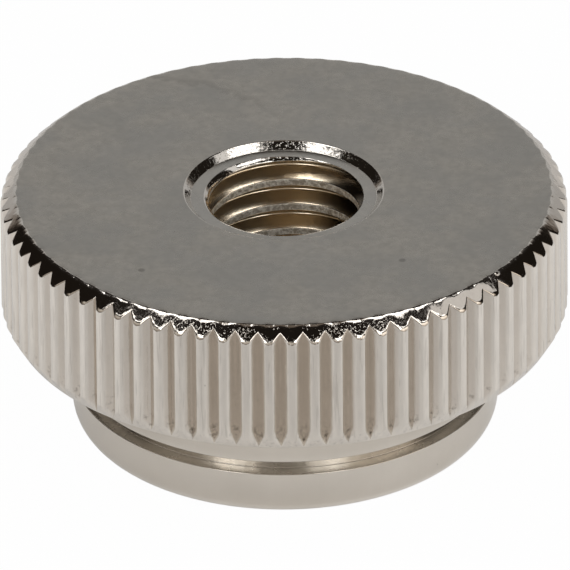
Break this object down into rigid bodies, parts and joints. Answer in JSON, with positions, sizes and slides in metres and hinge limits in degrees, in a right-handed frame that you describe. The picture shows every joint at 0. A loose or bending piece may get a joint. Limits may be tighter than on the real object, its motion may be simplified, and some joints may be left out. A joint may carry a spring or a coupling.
{
  "type": "knurled thumb nut",
  "caption": "Round thumb nut turned in one piece: a wide straight-knurled head on a smooth hub with a ring groove, and a threaded bore right through for tightening by hand.",
  "frame": {"origin": "centre of the flat foot face, on the screw axis", "axes": "+Z along the screw axis, from the foot to the top face of the head"},
  "size_m": [0.025, 0.025, 0.0113],
  "materials": {
    "nickel_plate": "nickel plate over brass, satin on the top face and smoother on the flutes and hub"
  },
  "bodies": {
    "root": {"thumb_nut": "nickel_plate"}
  },
  "joints": []
}
